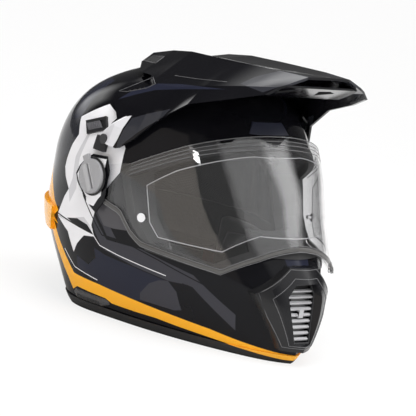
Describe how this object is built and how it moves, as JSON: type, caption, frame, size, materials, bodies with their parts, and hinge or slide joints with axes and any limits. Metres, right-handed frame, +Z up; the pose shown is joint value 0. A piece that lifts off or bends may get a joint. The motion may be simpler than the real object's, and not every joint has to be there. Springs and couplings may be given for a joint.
{
  "type": "dual sport helmet",
  "caption": "Full-face dual sport helmet with a forked peak, a hinged clear visor, a louvred chin vent, side knobs and a lined head cavity.",
  "frame": {"origin": "middle of the overall box, at the flat underside of the rim", "axes": "-Y is the way the wearer faces, +Z is up, -X is the wearer's right"},
  "size_m": [0.273, 0.3555, 0.2794],
  "materials": {
    "shell": "glossy lacquer, black with navy, white and orange bands",
    "rim_rubber": "matt rubber",
    "seal_rubber": "matt rubber",
    "badge_plate": "satin, blank",
    "spoiler": "glossy lacquer",
    "exhaust": "matt moulded",
    "clear_visor": "polished, clear",
    "clear_lens": "polished, clear",
    "pin": "smooth",
    "vent_frame": "matt moulded",
    "vent_slats": "satin moulded",
    "vent_shutter": "matt moulded",
    "vent_mesh": "woven mesh",
    "temple_base": "matt moulded",
    "temple_slider": "satin moulded",
    "pivot": "moulded",
    "side_cover": "matt moulded",
    "knob": "satin moulded",
    "peak_mount": "matt moulded",
    "peak_screw": "moulded",
    "pad_fabric": "brushed knit",
    "webbing": "woven webbing",
    "anchor_steel": "plated",
    "rivet_steel": "plated",
    "peak": "glossy lacquer, black with navy and white facets",
    "peak_panel": "matt moulded",
    "foam": "moulded foam beads",
    "liner_fabric": "brushed knit",
    "roll_fabric": "knit",
    "curtain_fabric": "knit",
    "guard_rubber": "matt rubber",
    "buckle": "moulded",
    "buckle_lever": "moulded",
    "tongue": "moulded"
  },
  "bodies": {
    "helmet": {"outer_shell": "shell", "rim_trim": "rim_rubber", "eye_port_seal": "seal_rubber", "brow_plate": "badge_plate", "rear_spoiler": "spoiler", "rear_exhaust_cover": "exhaust", "chin_vent_frame": "vent_frame", "chin_vent_grille": "vent_slats", "chin_vent_mesh": "vent_mesh", "temple_vent_base_left": "temple_base", "temple_vent_base_right": "temple_base", "pivot_boss_left": "pivot", "pivot_boss_right": "pivot", "side_cover_left": "side_cover", "side_cover_right": "side_cover", "peak_mount_left": "peak_mount", "peak_mount_right": "peak_mount", "peak_screw_left": "peak_screw", "peak_screw_right": "peak_screw", "cheek_pad_left": "pad_fabric", "cheek_pad_right": "pad_fabric", "strap_left": "webbing", "strap_right": "webbing", "strap_anchor_left": "anchor_steel", "strap_anchor_right": "anchor_steel", "strap_rivet_left": "rivet_steel", "strap_rivet_right": "rivet_steel", "peak": "peak", "peak_duct_panel": "peak_panel", "impact_liner": "foam", "chin_impact_liner": "foam", "comfort_liner": "liner_fabric", "neck_roll": "roll_fabric", "chin_curtain": "curtain_fabric", "breath_guard": "guard_rubber", "buckle_housing": "buckle", "buckle_tongue": "tongue"},
    "visor": {"visor": "clear_visor", "visor_lens": "clear_lens", "lens_pin_left": "pin", "lens_pin_right": "pin"},
    "knob_left": {"side_knob_left": "knob"},
    "knob_right": {"side_knob_right": "knob"},
    "temple_slider_left": {"temple_vent_slider_left": "temple_slider"},
    "temple_slider_right": {"temple_vent_slider_right": "temple_slider"},
    "chin_shutter": {"chin_vent_shutter": "vent_shutter"},
    "lever": {"buckle_lever": "buckle_lever"}
  },
  "joints": [
    {"name": "visor_hinge", "type": "hinge", "parent": "helmet", "child": "visor", "pos_m": [0, 0.02, 0.14], "axis": [-1, 0, 0], "range_deg": [0, 40]},
    {"name": "knob_left_turn", "type": "hinge", "parent": "helmet", "child": "knob_left", "pos_m": [0.13, 0.02, 0.14], "axis": [1, 0, 0], "range_deg": [0, 90]},
    {"name": "knob_right_turn", "type": "hinge", "parent": "helmet", "child": "knob_right", "pos_m": [-0.13, 0.02, 0.14], "axis": [1, 0, 0], "range_deg": [0, 90]},
    {"name": "temple_left_slide", "type": "slide", "parent": "helmet", "child": "temple_slider_left", "axis": [-0.0326, -0.9307, 0.3643], "range_m": [0, 0.006]},
    {"name": "temple_right_slide", "type": "slide", "parent": "helmet", "child": "temple_slider_right", "axis": [0.0326, -0.9307, 0.3643], "range_m": [0, 0.006]},
    {"name": "chin_shutter_slide", "type": "slide", "parent": "helmet", "child": "chin_shutter", "axis": [0, 0.2113, 0.9774], "range_m": [0, 0.006]},
    {"name": "buckle_lever_pivot", "type": "hinge", "parent": "helmet", "child": "lever", "pos_m": [0.052, 0.031, 0.058], "axis": [0, 1, 0], "range_deg": [0, 25], "stiffness_Nm_per_rad": 0.05, "springref_deg": -5.73}
  ]
}
